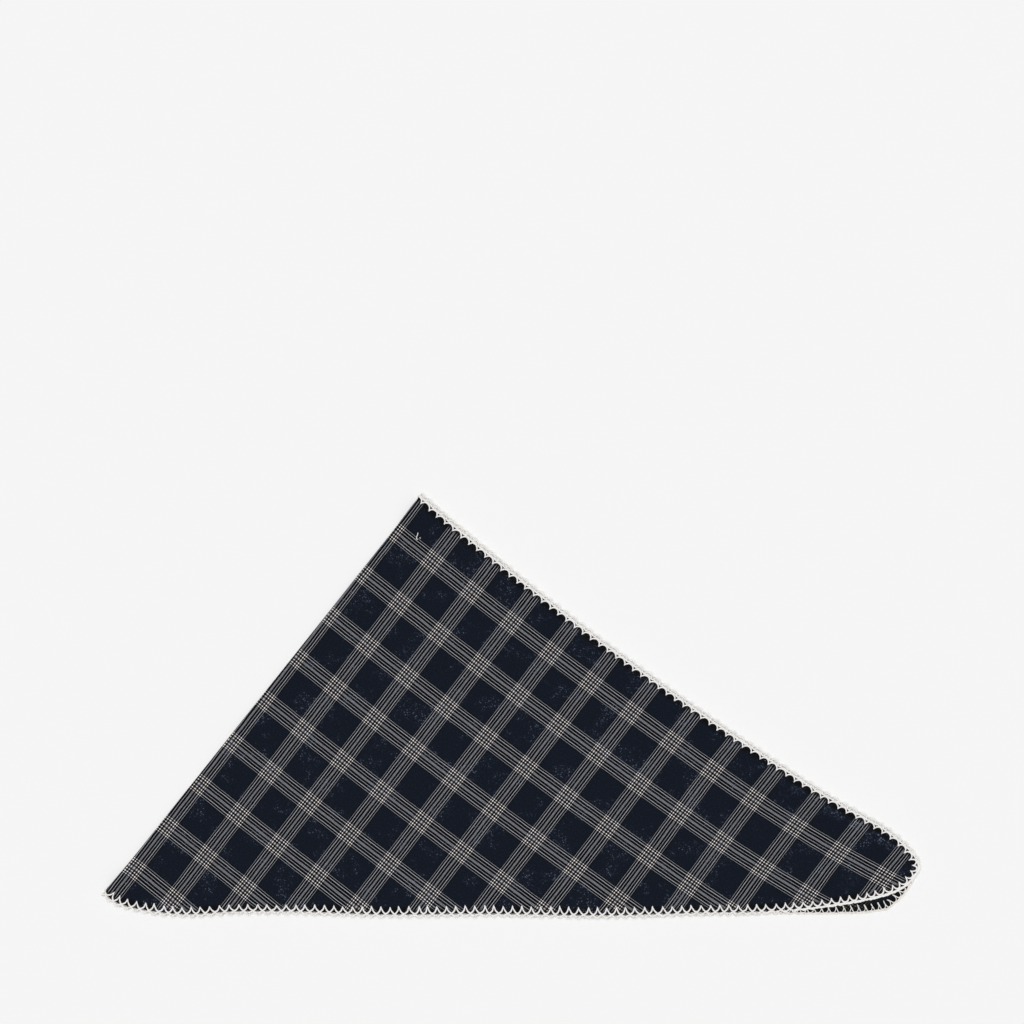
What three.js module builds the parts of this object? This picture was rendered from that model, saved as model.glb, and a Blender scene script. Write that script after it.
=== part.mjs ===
import * as THREE from 'three';

// Triangle scarf of checked cotton with a shell-stitched edging, folded once in half and lying flat.
// Millimetres. +X runs along the leg to the tie end, +Y towards the long edge, +Z up from the surface.

// Driving dimensions
const FOLD_LENGTH = 329; // the scarf's depth, from the middle of its long edge to its back point
const FOLD_ANGLE = 51.5; // degrees from +X to the fold
const FOLD_BULGE = 1.6; // from the axis of the fold's bend to the fold as seen
const CLOTH_THICKNESS = 1;
const LEAF_GAP = 0.6; // between the two leaves, away from the edging
const CLEARANCE = 0.3; // between cloth and edging, and between the two rows of edging
const SLOT_EASE = 0.8; // room between the cloth's edge and the bottom of the edging's channel
const FLANGE = 0.6; // thickness of the edging yarn on each face of the cloth
const BORDER_FLAT = 12; // width of cloth that the edging holds level
const BORDER_FALL = 40; // distance from the edge at which the leaves have come down

// Outline of the upper leaf, from the fold's lower end at 0, 0: half of the long edge, round tie end, leg
const LONG_EDGE = [
  { x: 232, y: 234 },
  { x: 308.5, y: 173.5 },
  { x: 387.5, y: 116.5 },
  { x: 469, y: 62.5 },
  { x: 511, y: 38 },
];
const TIE_END = [
  { x: 525.5, y: 24 },
  { x: 528, y: 17.5 },
  { x: 525, y: 11 },
  { x: 517.5, y: 4 },
  { x: 507, y: -0.5 },
];
const LEG = [
  { x: 478, y: -6.5 },
  { x: 426, y: -10.5 },
  { x: 393, y: -11 },
  { x: 328, y: -13.5 },
  { x: 247, y: -12.5 },
  { x: 182, y: -13.5 },
  { x: 117, y: -10.5 },
  { x: 84, y: -10.5 },
  { x: 52, y: -12.5 },
  { x: 20, y: -9.5 },
  { x: 6, y: -5 },
];

// How far the lower leaf shows past the upper one, by fraction of the free edge from the long edge's fold
const PEEK = [
  { along: 0, out: 0 },
  { along: 0.04, out: 1.6 },
  { along: 0.12, out: 0.4 },
  { along: 0.42, out: 0.3 },
  { along: 0.437, out: 1.5 },
  { along: 0.448, out: 6.5 },
  { along: 0.46, out: 9.8 },
  { along: 0.476, out: 8.1 },
  { along: 0.491, out: 6 },
  { along: 0.519, out: 3.1 },
  { along: 0.547, out: 0.9 },
  { along: 0.63, out: 0.6 },
  { along: 0.75, out: 2 },
  { along: 0.85, out: 0.8 },
  { along: 1, out: 0 },
];

// One stitch of the edging: pitch along the edge, reach in from the cloth's edge and out past it
const STITCH = { pitch: 6.45, spikeIn: 4.6, valleyIn: 1.6, arcOut: 3.4, notchOut: 2.2 };

// Mesh rows from the long edge to the leg and columns from the fold to the tie end, as fractions of the way
const ROWS = [0, 0.03, 0.08, 0.15, 0.24, 0.34, 0.45, 0.56, 0.67, 0.77, 0.86, 0.93, 0.975, 1];
const COLUMNS = [0, 0.01, 0.025, 0.045, 0.075, 0.12, 0.18, 0.24, 0.3, 0.36, 0.42, 0.48, 0.54, 0.6,
  0.66, 0.72, 0.78, 0.84, 0.9, 0.95, 1];
const BEND_STEPS = 6;
const EDGE_SAMPLES = 660;

// Sizes that follow
const edgingHalf = CLOTH_THICKNESS / 2 + CLEARANCE + FLANGE;
const level = {
  lower: { border: edgingHalf, middle: CLOTH_THICKNESS / 2 },
  upper: { border: 3 * edgingHalf + CLEARANCE, middle: 1.5 * CLOTH_THICKNESS + LEAF_GAP },
};
const foldTurn = THREE.MathUtils.degToRad(FOLD_ANGLE);
const foldAway = new THREE.Vector3(-Math.sin(foldTurn), Math.cos(foldTurn), 0);
const backPoint = foldAway.clone().multiplyScalar(-FOLD_BULGE);
const foldTop = new THREE.Vector3(Math.cos(foldTurn), Math.sin(foldTurn), 0)
  .multiplyScalar(FOLD_LENGTH)
  .add(backPoint);
const foldColumn = COLUMNS.length - 1; // the upper leaf's column at the fold
const up = new THREE.Vector3(0, 0, 1);
const down = new THREE.Vector3(0, 0, -1);

function peekAt(along) {
  const next = Math.max(1, PEEK.findIndex((row) => row.along >= along));
  const [from, to] = [PEEK[next - 1], PEEK[next]];
  return THREE.MathUtils.mapLinear(along, from.along, to.along, from.out, to.out);
}

// Distance travelled along a polyline at each of its points
function travelled(points) {
  const reach = [0];
  for (let i = 1; i < points.length; i++) {
    reach.push(reach[i - 1] + points[i].distanceTo(points[i - 1]));
  }
  return reach;
}

function evenFractions(count) {
  return Array.from({ length: count + 1 }, (unused, i) => i / count);
}

// Points of a polyline at fractions of its length
function resample(points, fractions) {
  const reach = travelled(points);
  let i = 1;
  return fractions.map((fraction) => {
    const at = fraction * reach[points.length - 1];
    while (i < points.length - 1 && reach[i] < at) i++;
    const share = (at - reach[i - 1]) / (reach[i] - reach[i - 1]);
    return points[i - 1].clone().lerp(points[i], share);
  });
}

// A leaf's free edge, split into the three sides that the mesh runs between
function leafSides(peeks) {
  const knots = [...LONG_EDGE, ...TIE_END, ...LEG].map(({ x, y }) => new THREE.Vector3(x, y, 0));
  const curve = new THREE.CatmullRomCurve3([foldTop, ...knots, backPoint]);
  const edge = curve.getPoints(EDGE_SAMPLES);
  const reach = travelled(edge);
  edge.forEach((point, i) => {
    const tangent = curve.getTangent(i / EDGE_SAMPLES);
    const outward = new THREE.Vector3(-tangent.y, tangent.x, 0);
    point.addScaledVector(outward, peeks ? peekAt(reach[i] / reach[EDGE_SAMPLES]) : 0);
  });
  const perKnot = EDGE_SAMPLES / (knots.length + 1);
  const tieStart = Math.round(LONG_EDGE.length * perKnot);
  const tieStop = Math.round((LONG_EDGE.length + TIE_END.length) * perKnot);
  return {
    edge,
    longEdge: resample(edge.slice(0, tieStart + 1), COLUMNS),
    tieEnd: resample(edge.slice(tieStart, tieStop + 1), evenFractions(ROWS.length - 1)),
    leg: resample(edge.slice(tieStop).reverse(), COLUMNS),
  };
}

// A point of a leaf, blended between the fold, the long edge, the tie end and the leg
function leafPoint(sides, heights, column, row) {
  const [u, v] = [COLUMNS[column], ROWS[row]];
  const point = new THREE.Vector3()
    .addScaledVector(sides.longEdge[column], 1 - v)
    .addScaledVector(sides.leg[column], v)
    .addScaledVector(foldTop.clone().lerp(backPoint, v), 1 - u)
    .addScaledVector(sides.tieEnd[row], u)
    .addScaledVector(foldTop, -(1 - u) * (1 - v))
    .addScaledVector(backPoint, -(1 - u) * v)
    .addScaledVector(sides.tieEnd[0], -u * (1 - v))
    .addScaledVector(sides.tieEnd[ROWS.length - 1], -u * v);
  const inside = Math.min(...sides.edge.map((edgePoint) => edgePoint.distanceTo(point)));
  const fall = THREE.MathUtils.smoothstep(inside, BORDER_FLAT, BORDER_FALL);
  point.z = THREE.MathUtils.lerp(heights.border, heights.middle, fall);
  return point;
}

// The middle of the cloth as rows of points with the normal of its outer face: upper leaf, fold, lower leaf
function foldedRows() {
  const upperSides = leafSides(false);
  const lowerSides = leafSides(true);
  return ROWS.map((share, row) => {
    const cells = [];
    for (let column = foldColumn; column >= 0; column--) {
      cells.push({ point: leafPoint(upperSides, level.upper, column, row), normal: up });
    }
    const top = cells[foldColumn].point;
    const bottom = leafPoint(lowerSides, level.lower, 0, row);
    const axis = top.clone().lerp(bottom, 0.5);
    for (let step = 1; step < BEND_STEPS; step++) {
      const turn = Math.PI * (0.5 - step / BEND_STEPS);
      const normal = foldAway.clone().multiplyScalar(Math.cos(turn)).addScaledVector(up, Math.sin(turn));
      cells.push({ point: axis.clone().addScaledVector(normal, (top.z - bottom.z) / 2), normal });
    }
    COLUMNS.forEach((fraction, column) => {
      cells.push({ point: leafPoint(lowerSides, level.lower, column, row), normal: down });
    });
    return cells;
  });
}

function meshGeometry(points, triangles) {
  const geometry = new THREE.BufferGeometry();
  const positions = points.flatMap((point) => point.toArray());
  geometry.setAttribute('position', new THREE.Float32BufferAttribute(positions, 3));
  geometry.setIndex(triangles.flat());
  geometry.computeVertexNormals();
  return geometry;
}

// The border of the cloth in order: lower leaf, fold at the back point, upper leaf, fold at the long edge
function borderRuns(rows) {
  const longRow = rows[0];
  const legRow = rows[rows.length - 1];
  const bendStop = foldColumn + BEND_STEPS;
  const tieColumn = (column) => rows.slice(1, -1).map((cells) => cells[column]);
  const lowerTie = tieColumn(longRow.length - 1);
  const upperTie = tieColumn(0).reverse();
  return {
    lower: [...longRow.slice(bendStop), ...lowerTie, ...legRow.slice(bendStop).reverse()],
    backFold: legRow.slice(foldColumn, bendStop + 1).reverse(),
    upper: [...legRow.slice(0, foldColumn + 1).reverse(), ...upperTie, ...longRow.slice(0, foldColumn + 1)],
    longFold: longRow.slice(foldColumn, bendStop + 1),
  };
}

// The cloth: outer face, inner face and the rim between them
function clothGeometry(rows) {
  const half = CLOTH_THICKNESS / 2;
  const width = rows[0].length;
  const cells = rows.flat();
  const points = [half, -half].flatMap((offset) =>
    cells.map(({ point, normal }) => point.clone().addScaledVector(normal, offset)));
  const inner = cells.length;
  const triangles = [];
  for (let row = 0; row + 1 < rows.length; row++) {
    for (let column = 0; column + 1 < width; column++) {
      const a = row * width + column;
      const [b, d, e] = [a + 1, a + width, a + width + 1];
      triangles.push([a, b, e], [a, e, d]);
      triangles.push([inner + a, inner + e, inner + b], [inner + a, inner + d, inner + e]);
    }
  }
  const runs = borderRuns(rows);
  const rim = [runs.lower, runs.backFold, runs.upper, runs.longFold].flatMap((run) => run.slice(0, -1));
  rim.forEach((cell, i) => {
    const a = cells.indexOf(cell);
    const b = cells.indexOf(rim[(i + 1) % rim.length]);
    triangles.push([b, a, inner + a], [b, inner + a, inner + b]);
  });
  return meshGeometry(points, triangles);
}

// Places along a run of border: each has its point, normal and swell, 0 in a valley and 1 at a spike
function stitchPlaces(run) {
  const length = travelled(run.map((cell) => cell.point))[run.length - 1];
  const halves = 2 * Math.round(length / STITCH.pitch);
  const points = resample(run.map((cell) => cell.point), evenFractions(halves));
  return points.slice(0, -1).map((point, i) => ({ point, normal: run[0].normal, swell: i % 2 }));
}

// One stitch turns around each end of the fold
function bendPlaces(run) {
  return run.slice(0, -1).map(({ point, normal }, i) => ({
    point, normal, swell: 1 - Math.abs((2 * i) / BEND_STEPS - 1),
  }));
}

// The edging: a wedge-lipped channel round the cloth's edge, toothed inwards and scalloped outwards
function edgingGeometry(rows) {
  const runs = borderRuns(rows);
  const places = [
    ...stitchPlaces(runs.lower),
    ...bendPlaces(runs.backFold),
    ...stitchPlaces(runs.upper),
    ...bendPlaces(runs.longFold),
  ];
  const slot = CLOTH_THICKNESS / 2 + CLEARANCE;
  const points = [];
  places.forEach(({ point, normal, swell }, i) => {
    const before = places[(i + places.length - 1) % places.length].point;
    const after = places[(i + 1) % places.length].point;
    const outward = after.clone().sub(before).cross(normal).normalize();
    const lip = -THREE.MathUtils.lerp(STITCH.valleyIn, STITCH.spikeIn, swell);
    const reach = THREE.MathUtils.lerp(STITCH.notchOut, STITCH.arcOut, swell);
    const section = [
      { out: lip, rise: slot },
      { out: reach, rise: edgingHalf },
      { out: reach, rise: -edgingHalf },
      { out: lip, rise: -slot },
      { out: SLOT_EASE, rise: -slot },
      { out: SLOT_EASE, rise: slot },
    ];
    section.forEach(({ out, rise }) => {
      points.push(point.clone().addScaledVector(outward, out).addScaledVector(normal, rise));
    });
  });
  const sides = points.length / places.length;
  const triangles = [];
  places.forEach((place, i) => {
    for (let side = 0; side < sides; side++) {
      const a = i * sides + side;
      const b = i * sides + ((side + 1) % sides);
      const d = (a + sides) % points.length;
      const e = (b + sides) % points.length;
      triangles.push([a, b, e], [a, e, d]);
    }
  });
  return meshGeometry(points, triangles);
}

function namedMesh(name, geometry, color, roughness) {
  const mesh = new THREE.Mesh(geometry, new THREE.MeshStandardMaterial({ color, roughness, metalness: 0 }));
  mesh.name = name;
  return mesh;
}

const rows = foldedRows();
const scarf = new THREE.Group();
scarf.add(namedMesh('scarf_cloth', clothGeometry(rows), 0x1a1d26, 0.9));
scarf.add(namedMesh('shell_edging', edgingGeometry(rows), 0xded9d4, 0.85));

// The origin is under the middle of the folded scarf, on the surface
const box = new THREE.Box3().setFromObject(scarf);
const middle = box.getCenter(new THREE.Vector3());
scarf.position.set(-middle.x, -middle.y, -box.min.z);

export default scarf;
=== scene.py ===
import math

import bpy
import numpy as np
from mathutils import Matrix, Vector
from mathutils.bvhtree import BVHTree
from mathutils.kdtree import KDTree


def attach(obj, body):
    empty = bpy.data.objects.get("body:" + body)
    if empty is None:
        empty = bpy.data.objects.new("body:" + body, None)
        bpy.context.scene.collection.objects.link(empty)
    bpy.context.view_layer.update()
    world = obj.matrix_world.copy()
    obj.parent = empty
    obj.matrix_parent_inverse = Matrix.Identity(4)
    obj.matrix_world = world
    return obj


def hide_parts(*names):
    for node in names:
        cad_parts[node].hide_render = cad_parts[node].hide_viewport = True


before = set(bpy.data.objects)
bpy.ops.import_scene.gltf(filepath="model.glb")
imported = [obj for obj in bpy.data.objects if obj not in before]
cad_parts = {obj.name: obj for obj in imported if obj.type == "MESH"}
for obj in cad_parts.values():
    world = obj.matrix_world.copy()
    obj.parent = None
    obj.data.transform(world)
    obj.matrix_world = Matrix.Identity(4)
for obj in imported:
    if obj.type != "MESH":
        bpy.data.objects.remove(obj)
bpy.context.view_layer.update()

dice = np.random.default_rng(41)
mm = 0.001
scene = bpy.context.scene

# Where the scarf lies, in mm. The plan starts at the fold's lower end, x along the leg, y up to the long edge
scarf = {
    "planOrigin": (-264.43, -121.35),  # the fold's lower end in the frame
    "foldLength": 329.0,
    "foldAngle": 51.5,
    "foldInset": 1.0,  # the bend's axis lies this far inside the fold as it is seen
    "longEdge": ((232, 234), (308.5, 173.5), (387.5, 116.5), (469, 62.5), (511, 38)),
    "tieEnd": ((525.5, 24), (528, 17.5), (525, 11), (517.5, 4), (507, -0.5)),
    "leg": (
        (478, -6.5), (426, -11.5), (393, -12), (328, -14), (247, -13), (182, -13.5),
        (117, -11.4), (84, -11.5), (52, -13.3), (20, -9.5), (6, -5),
    ),
    # How far the lower leaf shows past the upper one, against the share of the free edge
    "peekShare": (0, 0.04, 0.12, 0.42, 0.437, 0.448, 0.46, 0.476, 0.491, 0.519, 0.547, 0.7, 0.725, 0.75, 1),
    "peek": (0, 0.6, -0.7, -0.6, 0.2, 4.5, 9.4, 8.1, 6, 3.1, 0.7, 0.3, 0.5, -0.2, 0),
}

angle = math.radians(scarf["foldAngle"])
foldWay = np.array((math.cos(angle), math.sin(angle)))  # up along the fold
foldAway = np.array((-math.sin(angle), math.cos(angle)))  # out of the fold, away from the leaves
backPoint = -scarf["foldInset"] * foldAway
foldTop = backPoint + scarf["foldLength"] * foldWay


def smoothCurve(knots, perSpan):
    # centripetal curve through the knots, in as many dimensions as they have
    knots = np.asarray(knots, float)
    knots = np.vstack((2 * knots[0] - knots[1], knots, 2 * knots[-1] - knots[-2]))
    before, start, stop, after = knots[:-3], knots[1:-2], knots[2:-1], knots[3:]
    root = lambda step: np.maximum(np.sqrt(np.linalg.norm(step, axis=1)), 1e-6)[:, None]
    a, b, c = root(start - before), root(stop - start), root(after - stop)
    leave = ((start - before) / a - (stop - before) / (a + b) + (stop - start) / b) * b
    reach = ((stop - start) / b - (after - start) / (b + c) + (after - stop) / c) * b
    t = (np.arange(perSpan) / perSpan)[None, :, None]
    start, stop, leave, reach = start[:, None], stop[:, None], leave[:, None], reach[:, None]
    points = (
        (2 * t**3 - 3 * t**2 + 1) * start + (t**3 - 2 * t**2 + t) * leave
        + (3 * t**2 - 2 * t**3) * stop + (t**3 - t**2) * reach
    )
    return np.vstack((points.reshape(-1, knots.shape[1]), knots[-2]))


def runLengths(points):
    return np.concatenate(([0], np.cumsum(np.linalg.norm(np.diff(points, axis=0), axis=1))))


def pickAlong(points, at):
    lengths = runLengths(points)
    return np.stack([np.interp(at, lengths, points[:, k]) for k in range(points.shape[1])], axis=1)


def evenPoints(points, spacing):
    total = runLengths(points)[-1]
    return pickAlong(points, np.linspace(0, total, max(2, int(round(total / spacing)) + 1)))


def unit(vectors):
    return vectors / np.maximum(np.linalg.norm(vectors, axis=-1, keepdims=True), 1e-9)


def smoothStep(low, high, values):
    t = np.clip((values - low) / (high - low), 0, 1)
    return t * t * (3 - 2 * t)


def smoothed(values, reach):
    # evened out over this many points to either side
    window = np.hanning(2 * reach + 1)
    return np.convolve(np.pad(values, reach, mode="edge"), window / window.sum(), mode="valid")


def outOf(points):
    way = unit(np.gradient(points, axis=0))
    return np.stack((-way[:, 1], way[:, 0]), axis=1)


# The free edge of each leaf, from the fold's top round the tie end to the back point
upperEdge = smoothCurve((foldTop, *scarf["longEdge"], *scarf["tieEnd"], *scarf["leg"], backPoint), 60)
upperEdge = evenPoints(upperEdge, 0.4)
edgeShare = np.linspace(0, 1, len(upperEdge))
peek = np.interp(edgeShare, scarf["peekShare"], scarf["peek"])
peek = smoothed(peek, 7)
lowerEdge = upperEdge + outOf(upperEdge) * peek[:, None]
print("edges laid out, free edge", round(runLengths(upperEdge)[-1], 1), "mm")


def toFrame(points):
    points = np.asarray(points, float).copy()
    points[..., 0] += scarf["planOrigin"][0]
    points[..., 1] += scarf["planOrigin"][1]
    return points * mm


def makePiece(name, points, faces, maps):
    mesh = bpy.data.meshes.new(name)
    mesh.from_pydata(toFrame(points).tolist(), [], faces)
    for mapName, corners in maps.items():
        layer = mesh.uv_layers.new(name=mapName)
        layer.data.foreach_set("uv", np.asarray(corners, float).ravel())
    mesh.polygons.foreach_set("use_smooth", [True] * len(mesh.polygons))
    mesh.update()
    piece = bpy.data.objects.new(name, mesh)
    scene.collection.objects.link(piece)
    return piece


# Cloth: one sheet, lower leaf, bend and upper leaf, in mm
cloth = {
    "thickness": 0.42,
    "columns": 540,
    "borderRows": 11,  # rows close to each edge, evenly spaced in mm
    "borderStep": 0.75,
    "borderShare": 0.36,  # at most this share of the leaf's height, near the corners
    "innerRows": 16,
    "bendColumns": 9,
    "lowerFlat": 0.24,  # heights of the sheet's middle
    "lowerBorder": 1.38,
    "upperFlat": 0.9,
    "upperBorder": 4.25,
    "upperSunk": 3.0,  # where the lower leaf shows wide, the upper border sinks onto it
    "sunkPeek": (4.5, 8.5),  # from where the lower leaf shows this much, to where it has sunk fully
    "borderFlat": 7.0,  # the border stays level this far in, then falls
    "borderFall": 22.0,
    "foldRise": 0.85,  # the springy swell beside the fold
    "foldSwell": 10.0,
    "wave": 0.16,
    "pucker": 0.3,
    "puckerDepth": 3.2,  # in from the edge
    "puckerReach": 2.0,
    # Check: two steps of the pattern in the plan, and the crossing that is counted as 0, 0
    "crossing": (211.85, 214.48),
    "stepAcross": (26.18, -19.22),
    "stepAlong": (-21.06, -27.46),
    "mirrorStep": -2,  # past the fold the bow is mirrored
    "bowTop": 1.4,  # in mm, against steps across
    "bowMiddle": 4.7,
    "bowFall": 0.13,
    "bowEnd": 7.5,
    "bowEndFall": 0.45,
    "pulledAt": (348, 0),  # the leg's stitches draw the check aside here
    "pulledReach": 50.0,
    "pulled": 0.055,  # in steps across
}
stepSizes = [float(np.linalg.norm(cloth[key])) for key in ("stepAcross", "stepAlong")]


def edgeFinder(edge):
    tree = KDTree(len(edge))
    for k, (x, y) in enumerate(edge):
        tree.insert((x, y, 0), k)
    tree.balance()
    return tree


def nearestEdge(tree, plan):
    found = [tree.find((x, y, 0)) for x, y in plan.reshape(-1, 2)]
    shape = plan.shape[:-1]
    return np.array([f[2] for f in found]).reshape(shape), np.array([f[1] for f in found]).reshape(shape)


def leafPlan(edge):
    # a patch between the long edge, the leg, the fold and the tie end
    corners = [int(np.argmin(np.linalg.norm(upperEdge - scarf["tieEnd"][k], axis=1))) for k in (0, -1)]
    u = np.linspace(0, 1, cloth["columns"] + 1)
    longSide = edge[: corners[0] + 1]
    endSide = edge[corners[0] : corners[1] + 1]
    legSide = edge[corners[1] :][::-1]

    def spread(side, share):
        return pickAlong(side, share.ravel() * runLengths(side)[-1]).reshape(*share.shape, 2)

    top, low = spread(longSide, u)[None], spread(legSide, u)[None]
    tall = np.linalg.norm(top - low, axis=-1)
    steps = np.arange(cloth["borderRows"] + 1)[:, None]
    near = np.minimum(steps * cloth["borderStep"] / tall, cloth["borderShare"] * steps / cloth["borderRows"])
    share = np.linspace(0, 1, cloth["innerRows"] + 1)[1:-1, None]
    between = near[-1:] + (1 - 2 * near[-1:]) * share
    v = np.concatenate((near, between, 1 - near[::-1]))
    fold = foldTop + v[..., None] * (backPoint - foldTop)
    end = spread(endSide, v)
    u, v = u[None, :, None], v[..., None]
    blend = (1 - v) * ((1 - u) * top[:, :1] + u * top[:, -1:]) + v * ((1 - u) * low[:, :1] + u * low[:, -1:])
    return (1 - v) * top + v * low + (1 - u) * fold + u * end - blend


def borderLift(depth):
    return 1 - smoothStep(cloth["borderFlat"], cloth["borderFall"], depth)


sunk = smoothStep(*cloth["sunkPeek"], peek)
upperBorder = cloth["upperBorder"] + (cloth["upperSunk"] - cloth["upperBorder"]) * sunk
upperBorder = smoothed(upperBorder, 40)

# Edging: strands along the closed ring of edge, which runs lower leaf, back point, upper leaf, fold's top
edging = {
    "pitchShare": (0, 0.40, 0.435, 0.47, 0.5, 1),
    "upperPitch": (6.75, 6.65, 5.9, 5.9, 6.1, 6.15),
    "lowerPitch": (6.75, 6.65, 4.9, 4.6, 4.9, 6.15),
    # Kinds: 0 the long edge's close stitches, 1 the tie end's solid ones, 2 the leg's open ones,
    # 3 the lower leaf's slanting ones below the tie end
    "kindShare": (0, 0.40, 0.43, 0.455, 0.50, 0.53, 0.56, 1),
    "upperKind": (0, 0, 0.7, 1, 1, 1.7, 2, 2),
    "lowerKind": (0, 0, 2.2, 3, 3, 2.8, 2, 2),
    "deepShare": (0, 0.5, 0.55, 0.6, 0.64, 0.73, 0.79, 0.84, 0.88, 0.93, 0.957, 1),
    "deep": (1, 0.9, 0.85, 0.9, 1.05, 1.05, 0.98, 0.88, 0.8, 0.8, 0.95, 0.95),  # how deep the spikes are
    "spikeFoot": -1.3,  # a spike is what lies further in than this
    "loopJitter": 0.06,
    "innerJitter": 0.13,
    "outerJitter": 0.17,
    "placeJitter": 0.22,
    "yarn": 0.56,  # radius
    "ringSpacing": 0.7,
    "sides": 8,
    # From spike to spike, a row for each kind: share of the pitch, and mm out past the cloth's edge
    "loopAt": (
        (0.0, 0.01, 0.03, 0.07, 0.14, 0.25, 0.40, 0.60, 0.75, 0.86, 0.93, 0.97, 0.99),
        (0.0, 0.02, 0.06, 0.13, 0.24, 0.37, 0.50, 0.62, 0.74, 0.85, 0.925, 0.97, 0.99),
        (0.0, 0.04, 0.11, 0.2, 0.31, 0.43, 0.54, 0.66, 0.78, 0.885, 0.95, 0.985, 0.995),
        (0.0, -0.06, -0.12, -0.15, -0.1, -0.02, 0.08, 0.22, 0.38, 0.55, 0.7, 0.85, 0.96),
    ),
    "loopOut": (
        (-3.4, -3.0, -2.4, -1.75, -1.1, -0.5, -0.1, -0.1, -0.5, -1.1, -1.75, -2.4, -3.0),
        (-4.6, -3.9, -2.9, -1.9, -1.0, -0.5, -0.35, -0.5, -0.95, -1.8, -2.8, -3.6, -4.2),
        (-5.1, -4.4, -3.3, -2.2, -1.2, -0.55, -0.3, -0.55, -1.1, -2.0, -3.0, -4.0, -4.6),
        (-4.9, -4.2, -3.3, -2.6, -1.7, -0.8, -0.15, 0.1, 0.1, -0.1, -1.6, -3.2, -4.5),
    ),
    "loopHeight": (0.15, 0.7, 0.9, 1, 1, 1, 1, 1, 1, 1, 1, 0.9, 0.7),
    "loopThick": (
        (0.52, 0.56, 0.66, 0.8, 0.94, 1, 1, 1, 1, 0.94, 0.8, 0.66, 0.56),
        (0.5, 0.56, 0.68, 0.84, 0.98, 1.06, 1.08, 1.06, 1, 0.92, 0.8, 0.66, 0.55),
        (0.5, 0.58, 0.7, 0.84, 0.96, 1, 1, 1, 0.98, 0.92, 0.82, 0.68, 0.56),
        (0.5, 0.5, 0.5, 0.48, 0.46, 0.48, 0.55, 0.6, 0.6, 0.6, 0.58, 0.56, 0.52),
    ),
    "purlAt": (0, 0.17, 0.33, 0.5, 0.67, 0.83),
    "innerPurl": (
        (0.0, 0.2, 0.4, 0.5, 0.4, 0.2), (0.4, 0.4, 0.3, 0.25, 0.3, 0.4),
        (1.35, 1.1, 0.55, 0.3, 0.55, 1.1), (0.3, 0.3, 0.3, 0.3, 0.3, 0.3),
    ),
    "innerHeight": (
        (0.2, -0.1, -0.4, -0.5, -0.4, -0.1), (0.4, 0.3, 0.2, 0.1, 0.2, 0.3),
        (-0.3, -0.1, 0.3, 0.4, 0.2, -0.1), (0, 0.2, 0, -0.2, 0, 0.1),
    ),
    "innerThick": (0.8, 1, 0.75, 0.6),
    "outerPurl": (
        (0.0, 1.1, 2.05, 2.4, 2.05, 1.1), (1.1, 1.05, 1.0, 0.95, 1.0, 1.05),
        (2.35, 1.8, 0.85, 0.5, 0.85, 1.8), (0.8, 0.9, 0.8, 0.7, 0.8, 0.9),
    ),
    "outerHeight": (
        (-0.2, 0, 0.2, 0.3, 0.2, 0), (0, 0.1, 0, -0.1, 0, 0.1),
        (0.3, 0.2, -0.2, -0.5, -0.2, 0.2), (-0.2, 0, 0.2, 0, -0.2, 0),
    ),
    "outerThick": (0.56, 0.95, 0.66, 0.6),
}

lowerRing = np.column_stack((lowerEdge, np.full(len(lowerEdge), cloth["lowerBorder"])))
upperRing = np.column_stack((upperEdge, upperBorder))[::-1]
turn = np.radians(np.linspace(-90, 90, 15)[1:-1])[:, None]


def bendRing(axis, high, low, turn):
    middle, radius = (high + low) / 2, (high - low) / 2
    flat = axis + foldAway * np.cos(turn) * radius
    return np.column_stack((flat, middle + radius * np.sin(turn)))


backRing = bendRing(backPoint, upperBorder[-1], cloth["lowerBorder"], turn)
topRing = bendRing(foldTop, upperBorder[0], cloth["lowerBorder"], -turn)
ringPoints = np.vstack((lowerRing, backRing, upperRing, topRing, lowerRing[:1]))
flatOut = lambda edge: np.column_stack((outOf(edge), np.zeros(len(edge))))
endOut = lambda edge, k: np.tile(np.append(outOf(edge)[k], 0), (len(turn), 1))
ringOut = np.vstack((
    flatOut(lowerEdge), endOut(upperEdge, -1), flatOut(upperEdge)[::-1],
    endOut(upperEdge, 0), flatOut(lowerEdge)[:1],
))
bendNormal = np.column_stack((foldAway * np.cos(turn), np.sin(turn)))
down, up = np.array((0, 0, -1.0)), np.array((0, 0, 1.0))
ringNormal = np.vstack((
    np.tile(down, (len(lowerRing), 1)), bendNormal, np.tile(up, (len(upperRing), 1)), bendNormal[::-1], down,
))
ringLength = runLengths(ringPoints)
ringShare = np.concatenate((edgeShare, np.ones(len(turn)), edgeShare[::-1], np.zeros(len(turn)), [0]))
ringHalf = ringLength[len(lowerRing) + len(turn) - 1]  # the lower piece ends here, past the back point


def ringAt(at):
    pick = lambda table: np.stack([np.interp(at, ringLength, table[:, k]) for k in range(3)], axis=1)
    return pick(ringPoints), unit(pick(ringOut)), unit(pick(ringNormal))


def placeSpikes():
    lower = np.arange(len(ringLength)) < len(lowerRing) + len(turn)
    pitch = np.where(
        lower,
        np.interp(ringShare, edging["pitchShare"], edging["lowerPitch"]),
        np.interp(ringShare, edging["pitchShare"], edging["upperPitch"]),
    )
    count = np.concatenate(([0], np.cumsum(np.diff(ringLength) / (0.5 * (pitch[1:] + pitch[:-1])))))
    whole = int(round(count[-1]))
    places = np.interp(np.arange(whole + 1) * count[-1] / whole, count, ringLength)
    places[1:-1] += dice.normal(0, edging["placeJitter"], whole - 1)
    return places


spikes = placeSpikes()
print("stitches placed:", len(spikes) - 1)


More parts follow.
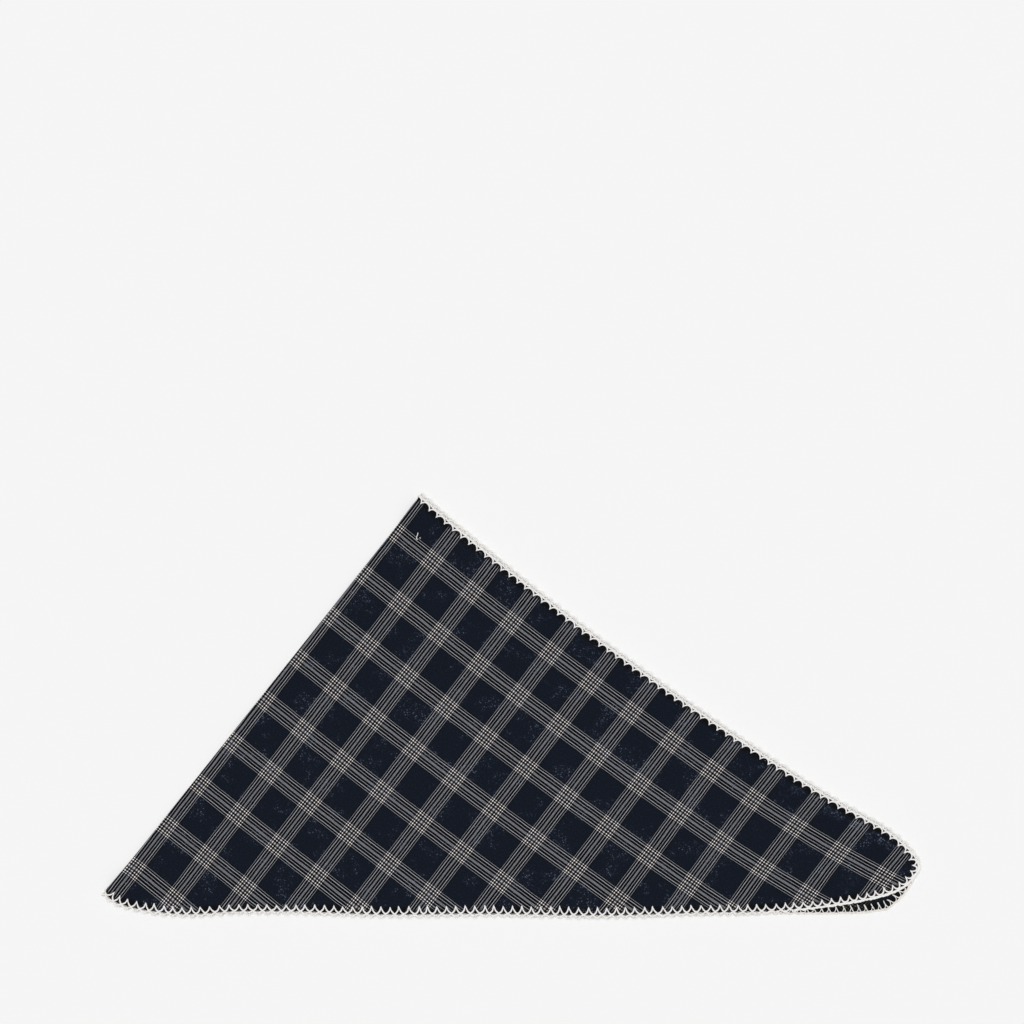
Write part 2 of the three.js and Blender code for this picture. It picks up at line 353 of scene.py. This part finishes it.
def puckers(edgeIndex, depth, start, step):
    # the cloth puffs up between the spikes and is drawn down at them
    at = start + step * edgeIndex * (ringLength[len(lowerRing) - 1] / (len(lowerRing) - 1))
    phase = np.interp(at, spikes, np.arange(len(spikes)))
    aside = (depth - cloth["puckerDepth"]) / cloth["puckerReach"]
    return -cloth["pucker"] * np.cos(2 * np.pi * phase) * np.exp(-(aside**2))


def clothHeights(plan, depth, index, upper):
    lift = borderLift(depth)
    if not upper:
        return cloth["lowerFlat"] + (cloth["lowerBorder"] - cloth["lowerFlat"]) * lift
    beside = (plan - foldTop) @ -foldAway
    swell = cloth["foldRise"] * np.exp(-((np.maximum(beside, 0) / cloth["foldSwell"]) ** 2))
    x, y = plan[..., 0], plan[..., 1]
    ripple = np.sin(x / 23 + y / 41 + 0.6) + np.sin(x / 37 - y / 19 + 2.1) + 0.6 * np.sin(x / 13 + y / 15)
    ripple = cloth["wave"] * (ripple + 2.6) / 2.6
    inner = cloth["upperFlat"] + swell + ripple
    border = upperBorder[index]
    startOfUpper = ringLength[len(lowerRing) + len(turn)]
    pucker = puckers(len(upperEdge) - 1 - index, depth, startOfUpper, 1)
    return inner + (border - inner) * lift + pucker * lift


def checkPlace(plan):
    # pattern steps across and along the fold, bowed as the woven lines are
    basis = np.array((cloth["stepAcross"], cloth["stepAlong"])).T
    place = (plan - np.array(cloth["crossing"])) @ np.linalg.inv(basis).T
    across, along = place[..., 0], place[..., 1]
    near = np.maximum(across, cloth["mirrorStep"] - across)
    bow = cloth["bowTop"] - cloth["bowFall"] * (near - cloth["bowMiddle"]) ** 2
    bow = bow - cloth["bowEndFall"] * np.maximum(0, near - cloth["bowEnd"]) ** 2
    aside = np.linalg.norm(plan - np.array(cloth["pulledAt"]), axis=-1) / cloth["pulledReach"]
    across = across - cloth["pulled"] * np.exp(-(aside**2))
    return np.stack((across, along - bow / stepSizes[1]), axis=-1)


def makeCloth():
    leaves, borders = [], []
    for edge, upper in ((lowerEdge, False), (upperEdge, True)):
        plan = leafPlan(edge)
        depth, index = nearestEdge(edgeFinder(edge), plan)
        height = clothHeights(plan, depth, index, upper)
        leaves.append(np.concatenate((plan, height[..., None]), axis=-1))
        # 2 is added to tell the lower leaf's border from the upper one's
        borders.append(np.stack((depth, edgeShare[index] + (0 if upper else 2)), axis=-1))
    lower, upper = leaves
    high, low = upper[:, 0, 2], lower[:, 0, 2]
    middle, radius = (high + low) / 2, (high - low) / 2
    bend = np.radians(np.linspace(-90, 90, cloth["bendColumns"] + 2)[1:-1])
    axis = lower[:, 0, :2]
    flat = axis[:, None] + (foldAway * np.cos(bend)[:, None])[None] * radius[:, None, None]
    rise = middle[:, None] + radius[:, None] * np.sin(bend)[None]
    middlePart = np.concatenate((flat, rise[..., None]), axis=-1)
    sheet = np.concatenate((lower[:, ::-1], middlePart, upper), axis=1)
    rows, columns = sheet.shape[:2]
    normal = np.zeros_like(sheet)
    leafColumns = lower.shape[1]
    normal[:, :leafColumns] = down
    normal[:, leafColumns + len(bend) :] = up
    bendOut = np.column_stack((foldAway * np.cos(bend)[:, None], np.sin(bend)))
    normal[:, leafColumns : leafColumns + len(bend)] = bendOut
    flatPlan = sheet[..., :2].copy()
    bendPart = radius[:, None] * (bend[None] - math.pi / 2)
    flatPlan[:, leafColumns : leafColumns + len(bend)] = axis[:, None] + foldAway * -bendPart[..., None]
    beside = ((lower[..., :2] - foldTop) @ foldAway)[..., None]
    past = lower[..., :2] - 2 * foldAway * beside + foldAway * (math.pi * radius)[:, None, None]
    flatPlan[:, :leafColumns] = past[:, ::-1]
    place = checkPlace(flatPlan)
    bendBorder = np.repeat(borders[1][:, :1], len(bend), axis=1)
    border = np.concatenate((borders[0][:, ::-1], bendBorder, borders[1]), axis=1)
    half = cloth["thickness"] / 2
    points = np.concatenate((sheet + half * normal, sheet - half * normal)).reshape(-1, 3)
    grid = np.arange(rows * columns).reshape(rows, columns)
    inner = grid + rows * columns
    a, b, c, d = grid[:-1, :-1], grid[:-1, 1:], grid[1:, 1:], grid[1:, :-1]
    outerFaces = np.stack((a, d, c, b), axis=-1).reshape(-1, 4)
    innerFaces = np.stack((a, b, c, d), axis=-1).reshape(-1, 4) + rows * columns
    loop = np.concatenate((grid[0, :], grid[1:, -1], grid[-1, -2::-1], grid[-2:0:-1, 0]))
    after = np.roll(loop, -1)
    rims = np.column_stack((loop, after, after + rows * columns, loop + rows * columns))
    faces = np.concatenate((outerFaces, innerFaces, rims))
    twice = lambda values: np.concatenate((values.reshape(-1, 2), values.reshape(-1, 2)))[faces.ravel()]
    maps = {"clothPlan": twice(place), "clothEdge": twice(border)}
    return makePiece("scarfCloth", points, faces.tolist(), maps)


clothPiece = makeCloth()
print("cloth made:", len(clothPiece.data.polygons), "faces")


def tubeAlong(points, radius, sides):
    way = unit(np.gradient(points, axis=0))
    side = np.cross(way[0], (0.3, 0.2, 0.9))
    sideways = np.empty_like(points)
    for k, step in enumerate(way):
        side = side - step * (side @ step)
        side = side / math.sqrt(side @ side)
        sideways[k] = side
    other = np.cross(way, sideways)
    turns = np.linspace(0, 2 * np.pi, sides, endpoint=False)[None, :, None]
    wide = np.asarray(radius).reshape(-1, 1, 1)
    ring = sideways[:, None] * np.cos(turns) + other[:, None] * np.sin(turns)
    rings = points[:, None] + ring * wide
    count = len(points)
    grid = np.arange(count * sides).reshape(count, sides)
    after = np.roll(grid, -1, axis=1)
    faces = np.stack((grid[:-1], after[:-1], after[1:], grid[1:]), axis=-1).reshape(-1, 4)
    length = runLengths(points)
    share = np.arange(sides + 1) / sides
    corner = np.empty((count - 1, sides, 4, 2))
    corner[..., 0, 0] = corner[..., 1, 0] = length[:-1, None]
    corner[..., 2, 0] = corner[..., 3, 0] = length[1:, None]
    corner[..., 0, 1] = corner[..., 3, 1] = share[None, :-1]
    corner[..., 1, 1] = corner[..., 2, 1] = share[None, 1:]
    ends = [grid[0, ::-1].tolist(), grid[-1].tolist()]
    endCorners = np.zeros((2 * sides, 2))
    return rings.reshape(-1, 3), faces.tolist() + ends, np.concatenate((corner.reshape(-1, 2), endCorners))


spikeDepth = dice.normal(1, 0.07, len(spikes))


def mixKinds(tables, kind):
    # a table has a row, or one value, for each kind of stitch
    table = np.asarray(tables, float)
    low = min(int(kind), len(table) - 2)
    return table[low] + (kind - low) * (table[low + 1] - table[low])


def strand(first, last, kinds, tables, jitter):
    # knots of one yarn, stitch after stitch: place and thickness
    reach = cloth["thickness"] / 2 + edging["yarn"]
    knots = []
    for k in range(first, last):
        start, pitch = spikes[k], spikes[k + 1] - spikes[k]
        share = np.interp(start, ringLength, ringShare)
        kind = np.interp(share, edging["kindShare"], kinds)
        at, away, rise, thick = [mixKinds(table, kind) for table in tables]
        deep = spikeDepth[k] * np.interp(share, edging["deepShare"], edging["deep"])
        at = at + dice.normal(0, jitter / pitch, len(at))
        foot = edging["spikeFoot"]
        away = np.where(away < foot, foot + (away - foot) * deep, away) + dice.normal(0, jitter, len(at))
        place, outward, normal = ringAt(start + at * pitch)
        where = place + outward * away[:, None] + normal * (rise * reach)[:, None]
        knots.append(np.column_stack((where, np.broadcast_to(thick, len(at)))))
    return np.concatenate(knots)


def tubes(paths):
    points, faces, corners = [], [], []
    start = 0
    for path in paths:
        radius = path[:, 3] * edging["yarn"] * (1 + dice.normal(0, 0.04, len(path)))
        tube, tubeFaces, tubeCorners = tubeAlong(path[:, :3], radius, edging["sides"])
        points.append(tube)
        faces += [[v + start for v in face] for face in tubeFaces]
        corners.append(tubeCorners)
        start += len(tube)
    points = np.concatenate(points)
    points[:, 2] = np.maximum(points[:, 2], 0.02)
    return points, faces, {"yarnPlan": np.concatenate(corners)}


def makeEdging(name, first, last, kinds, more=()):
    above = (edging["loopHeight"],) * 4
    below = -np.array(above)
    purlAt = (edging["purlAt"],) * 4
    loop = lambda height: (edging["loopAt"], edging["loopOut"], height, edging["loopThick"])
    inner = (purlAt, edging["innerPurl"], edging["innerHeight"], edging["innerThick"])
    outer = (purlAt, edging["outerPurl"], edging["outerHeight"], edging["outerThick"])
    paths = []
    for tables, jitter in (
        (loop(above), edging["loopJitter"]),
        (loop(below), edging["loopJitter"]),
        (inner, edging["innerJitter"]),
        (outer, edging["outerJitter"]),
    ):
        path = smoothCurve(strand(first, last, kinds, tables, jitter), 6)
        paths.append(evenPoints(path, edging["ringSpacing"]))
    return makePiece(name, *tubes(paths + list(more)))


# A loose thread end on the upper leaf, near the fold's top
loose = {
    "hook": ((203.4, 234.2), (203.2, 232.9), (202.6, 231.6), (202.5, 230.4), (203.1, 229.6)),
    "speck": ((204.5, 230.9), (204.9, 230.7), (205.2, 230.7)),
    "thick": 0.5,
}


def looseThread(knots):
    surface = BVHTree.FromPolygons(
        [v.co[:] for v in clothPiece.data.vertices], [f.vertices[:] for f in clothPiece.data.polygons]
    )
    path = smoothCurve(knots, 6)
    above = toFrame(np.column_stack((path, np.full(len(path), 50))))
    high = np.array([surface.ray_cast(point, down)[0][2] for point in above]) / mm
    thick = np.full(len(path), loose["thick"])
    return np.column_stack((path, high + 0.7 * loose["thick"] * edging["yarn"], thick))


half = int(np.searchsorted(spikes, ringHalf))
lowerEdging = makeEdging("lowerEdging", 0, half, edging["lowerKind"])
threads = [looseThread(loose[key]) for key in ("hook", "speck")]
upperEdging = makeEdging("upperEdging", half, len(spikes) - 1, edging["upperKind"], threads)
print("edging made:", len(lowerEdging.data.polygons), "and", len(upperEdging.data.polygons), "faces")


# Materials
class Wire:
    def __init__(self, paint, socket):
        self.paint = paint
        self.socket = socket

    def __add__(self, other):
        return self.paint.maths("ADD", self, other)

    def __radd__(self, other):
        return self.paint.maths("ADD", other, self)

    def __sub__(self, other):
        return self.paint.maths("SUBTRACT", self, other)

    def __rsub__(self, other):
        return self.paint.maths("SUBTRACT", other, self)

    def __mul__(self, other):
        return self.paint.maths("MULTIPLY", self, other)

    def __rmul__(self, other):
        return self.paint.maths("MULTIPLY", other, self)

    def __truediv__(self, other):
        return self.paint.maths("DIVIDE", self, other)

    def __rtruediv__(self, other):
        return self.paint.maths("DIVIDE", other, self)

    def __abs__(self):
        return self.paint.maths("ABSOLUTE", self)


class Paint:
    def __init__(self, name):
        self.material = bpy.data.materials.new(name)
        self.material.use_nodes = True
        self.tree = self.material.node_tree
        self.tree.nodes.clear()

    def node(self, kind, settings, sockets, output=0):
        made = self.tree.nodes.new(kind)
        for key, value in settings.items():
            setattr(made, key, value)
        for key, value in sockets.items():
            if isinstance(value, Wire):
                self.tree.links.new(value.socket, made.inputs[key])
            else:
                made.inputs[key].default_value = value
        return Wire(self, made.outputs[output]) if len(made.outputs) else made

    def maths(self, operation, *values):
        wide = any(isinstance(v, Wire) and v.socket.type in ("VECTOR", "RGBA") for v in values)
        kind = "ShaderNodeVectorMath" if wide else "ShaderNodeMath"
        return self.node(kind, {"operation": operation}, dict(enumerate(values)))

    def clamp(self, value):
        return self.node("ShaderNodeClamp", {}, {"Value": value})

    def floor(self, value):
        return self.maths("FLOOR", value)

    def fraction(self, value):
        return self.maths("FRACT", value)

    def ramp(self, value, low, high):
        return self.node(
            "ShaderNodeMapRange",
            {"interpolation_type": "SMOOTHSTEP"},
            {"Value": value, "From Min": low, "From Max": high},
        )

    def mix(self, share, first, second):
        return self.node("ShaderNodeMix", {"data_type": "RGBA"}, {0: share, 6: first, 7: second}, 2)

    def noise(self, place, scale, detail=2.0, rough=0.5):
        sockets = {"Vector": place, "Scale": scale, "Detail": detail, "Roughness": rough}
        return self.node("ShaderNodeTexNoise", {}, sockets)

    def map(self, name):
        return self.node("ShaderNodeUVMap", {"uv_map": name}, {})

    def parts(self, vector):
        first = self.node("ShaderNodeSeparateXYZ", {}, {"Vector": vector})
        return first, Wire(self, first.socket.node.outputs[1])

    def vector(self, x, y):
        return self.node("ShaderNodeCombineXYZ", {}, {"X": x, "Y": y})

    def surface(self, sockets):
        shader = self.node("ShaderNodeBsdfPrincipled", {}, sockets)
        self.node("ShaderNodeOutputMaterial", {}, {"Surface": shader})
        return self.material


cotton = {
    "navy": (0.0040, 0.0062, 0.0128, 1),
    "ground": (0.0004, 0.0005, 0.0009, 1),  # the darker ground between the stripes
    "cream": (0.98, 0.90, 0.85, 1),  # pale thread over pale thread
    "single": (0.455, 0.46, 0.505, 1),  # pale thread over dark ones
    "fleck": (0.09, 0.112, 0.165, 1),
    "border": (0.0024, 0.0020, 0.0021, 1),  # painted shade: the cloth is darkened next to the edging, where the stitches shade it
    "softness": 0.05,  # mm
    # distance from the band's middle, half width, brightness alone, half width and share where stripes cross
    "acrossLines": (
        (0.0, 0.58, 0.4, 0.55, 0.6), (2.1, 0.17, 0.6, 0.33, 0.9),
        (3.85, 0.18, 0.92, 0.37, 1), (5.3, 0.16, 0.44, 0.3, 0.8),
    ),
    "alongLines": (
        (0.0, 0.68, 0.4, 0.6, 0.6), (2.25, 0.17, 0.62, 0.33, 0.9),
        (4.18, 0.19, 0.92, 0.37, 1), (5.72, 0.16, 0.48, 0.3, 0.8),
    ),
    "thread": 0.46,
    "dots": 1.05,  # mm, the beat of the dark dots in the middle stripe
    "dotHalf": 0.24,
    "wornAt": 0.385,  # share of the edge where the border is worn most
    "lessWornAt": 0.345,
}


def cottonMaterial():
    p = Paint("checkedCotton")
    across, along = p.parts(p.map("clothPlan"))
    depth, edgeAt = p.parts(p.map("clothEdge"))
    x, y = across * stepSizes[0], along * stepSizes[1]
    place = p.vector(x, y)
    wobble = (p.noise(place, 0.09, 3) - 0.5) * 0.55

    def stripe(away, halfWide):
        return p.clamp((halfWide - away) / cotton["softness"] + 0.5)

    def band(value, other, repeat, lines):
        aside = abs(p.fraction(value + 0.5) - 0.5) * repeat
        alone, crossed = 0, 0
        for middle, halfWide, bright, crossHalf, share in lines:
            away = abs(aside - middle)
            alone = alone + stripe(away, halfWide) * bright
            crossed = crossed + stripe(away, crossHalf) * share
        beat = p.maths("SINE", other * (2 * math.pi / cotton["dots"]))
        dots = p.ramp(beat, -0.1, 0.5) * stripe(aside, cotton["dotHalf"])
        inBand = p.clamp((lines[-1][0] + 0.85 - aside) / 0.5 + 0.5)
        return alone * (1 - 0.7 * dots), crossed, inBand

    a, crossA, inA = band(across + wobble / stepSizes[0], y, stepSizes[0], cotton["acrossLines"])
    b, crossB, inB = band(along + wobble / stepSizes[1], x, stepSizes[1], cotton["alongLines"])
    # plain weave: where each thread lies on top
    threadX, threadY = x / cotton["thread"], y / cotton["thread"]
    odd = p.fraction((p.floor(threadX) + p.floor(threadY)) / 2) * 2
    slubs = p.noise(place, 0.75, 2)
    topA, topB = 0.75 + 0.5 * odd, 1.25 - 0.5 * odd
    shadedLowerLeaf = p.ramp(edgeAt, 1.5, 1.9)  # the lower leaf, whose border gets painted shade where the upper leaf lies over it
    # painted shade: the pale lines and crossings fade next to the edging
    unshadedShare = (0.12 + 0.88 * p.ramp(depth, 1.2, 4.2)) * (1 - 0.85 * shadedLowerLeaf * p.ramp(depth, 14, 9))
    single = (a * topA + b * topB) * (0.5 + slubs) * (1 - 0.62 * inA * inB) * unshadedShare
    ground = p.mix(p.maths("MAXIMUM", inA, inB), cotton["navy"], cotton["ground"])
    # painted shade: the ground darkens towards the edging
    ground = p.mix(p.ramp(depth, 6, 2.5), ground, cotton["border"])
    # pale flecks of fibre: a few all over, loose clusters, and the worn border near the tie end
    flecks = p.node("ShaderNodeTexVoronoi", {"feature": "F1"}, {"Vector": place, "Scale": 0.85})
    chosen, _ = p.parts(Wire(p, flecks.socket.node.outputs["Color"]))
    spot = p.ramp(flecks, 0.45, 0.2) * p.ramp(chosen, 0.4, 0.8)
    clusters = p.ramp(p.noise(place, 0.055, 3, 0.6), 0.49, 0.62)
    worn = p.ramp(depth, 11, 6.5) * p.ramp(depth, 3.6, 5)
    most = p.ramp(abs(edgeAt - cotton["wornAt"]), 0.03, 0.012)
    less = p.ramp(abs(edgeAt - cotton["lessWornAt"]), 0.04, 0.02)
    worn = worn * (most + 0.4 * less)
    hairs = p.ramp(p.noise(place, 0.8, 3, 0.6), 0.5, 0.62) * p.ramp(p.noise(place, 0.16, 2), 0.4, 0.58)
    haze = p.ramp(p.noise(place, 1.25, 2), 0.48, 0.85) * 0.12
    fleck = spot * clusters * 0.75 + hairs * worn + haze * (1 + clusters * 1.5)
    colour = p.mix(p.clamp(fleck), ground, cotton["fleck"])
    colour = p.mix(p.clamp(single), colour, cotton["single"])
    colour = p.mix(p.clamp(crossA * crossB * unshadedShare), colour, cotton["cream"])
    weave = p.maths("SINE", threadX * math.pi) * p.maths("SINE", threadY * math.pi)
    height = abs(weave) * 0.6 + slubs * 0.5
    bump = p.node("ShaderNodeBump", {}, {"Height": height, "Strength": 0.25, "Distance": 0.00012})
    return p.surface({
        "Base Color": colour, "Roughness": 0.9 - 0.1 * slubs, "Specular IOR Level": 0.08,
        "Sheen Weight": 0.03, "Sheen Roughness": 0.5, "Normal": bump,
    })


yarnLooks = {
    "twist": 2.6,  # mm per turn
    "specular": 0.15,
    "upper": ((0.97, 0.955, 0.94, 1), (0.84, 0.82, 0.80, 1)),  # bright and shaded
    # painted shade: the lower leaf's edging is the same yarn as the upper one, made darker and yellower for
    # the shade under the upper leaf
    "lower": ((0.95, 0.93, 0.89, 1), (0.80, 0.77, 0.71, 1)),
}


def yarnMaterial(name, bright, shaded):
    p = Paint(name)
    length, around = p.parts(p.map("yarnPlan"))
    place = p.vector(length, around * 3.6)
    strands = p.maths("SINE", (length / yarnLooks["twist"] + around) * (4 * math.pi)) * 0.5 + 0.5
    fibres = p.noise(p.vector(length * 0.7, around * 9 + length * 1.2), 2.2, 3)
    slow = p.noise(place, 0.12, 2)
    share = p.clamp(0.25 + 0.55 * strands + (fibres - 0.5) * 0.7 + (slow - 0.5) * 0.7)
    colour = p.mix(share, shaded, bright)
    bump = p.node(
        "ShaderNodeBump", {}, {"Height": strands + fibres * 0.6, "Strength": 0.5, "Distance": 0.00022}
    )
    return p.surface({
        "Base Color": colour, "Roughness": 0.82 + 0.12 * fibres, "Specular IOR Level": yarnLooks["specular"],
        "Sheen Weight": 0.1, "Sheen Roughness": 0.4, "Normal": bump,
    })


cottonFinish = cottonMaterial()
upperYarn = yarnMaterial("edgingYarn", *yarnLooks["upper"])
shadedLowerYarn = yarnMaterial("edgingYarnUnderShaded", *yarnLooks["lower"])
clothPiece.data.materials.append(cottonFinish)
upperEdging.data.materials.append(upperYarn)
lowerEdging.data.materials.append(shadedLowerYarn)
print("materials made")

for piece, node, slotName in (
    (clothPiece, "scarf_cloth", "checked_cotton"),
    (upperEdging, "shell_edging", "edging_yarn"),
    (lowerEdging, "shell_edging", "edging_yarn"),
):
    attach(piece, "root")
    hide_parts(node)

# Floor, light and camera
studio = {
    "floorSize": 16.0,
    "floor": (0.9, 0.9, 0.9, 1),
    "floorShade": (0.86, 0.86, 0.86, 1),
    "sky": 0.3,
    "sun": 2.27,
    "sunAngle": 40,
    "sunFrom": (-0.06, 0.1, 1.0),
    "aim": (0.0001, 0.1263),  # the picture's middle, in the frame
    "height": 2.003,
    "lens": 108.2,
}


def makeFloor():
    p = Paint("paleFloor")
    place = p.node("ShaderNodeTexCoord", {}, {}, "Object")
    cloud = p.noise(place, 3.0, 2)
    colour = p.mix(cloud * 0.03, studio["floor"], studio["floorShade"])
    finish = p.surface({"Base Color": colour, "Roughness": 0.95, "Specular IOR Level": 0.1})
    size = studio["floorSize"] / 2
    mesh = bpy.data.meshes.new("floor")
    corners = [(-size, -size, 0), (size, -size, 0), (size, size, 0), (-size, size, 0)]
    mesh.from_pydata(corners, [], [(0, 1, 2, 3)])
    floor = bpy.data.objects.new("floor", mesh)
    floor.data.materials.append(finish)
    scene.collection.objects.link(floor)


def makeLight():
    world = bpy.data.worlds.new("studio")
    world.use_nodes = True
    world.node_tree.nodes["Background"].inputs["Color"].default_value = (1, 1, 1, 1)
    world.node_tree.nodes["Background"].inputs["Strength"].default_value = studio["sky"]
    scene.world = world
    lamp = bpy.data.lights.new("softLight", "SUN")
    lamp.energy = studio["sun"]
    lamp.angle = math.radians(studio["sunAngle"])
    light = bpy.data.objects.new("softLight", lamp)
    light.rotation_mode = "QUATERNION"
    light.rotation_quaternion = Vector(studio["sunFrom"]).to_track_quat("Z", "Y")
    scene.collection.objects.link(light)


def makeCamera():
    data = bpy.data.cameras.new("camera")
    data.lens = studio["lens"]
    data.sensor_width = 36
    camera = bpy.data.objects.new("camera", data)
    camera.location = (*studio["aim"], studio["height"])
    scene.collection.objects.link(camera)
    scene.camera = camera


makeFloor()
makeLight()
makeCamera()
scene.view_settings.view_transform = "Standard"
scene.view_settings.look = "None"
print("studio made")
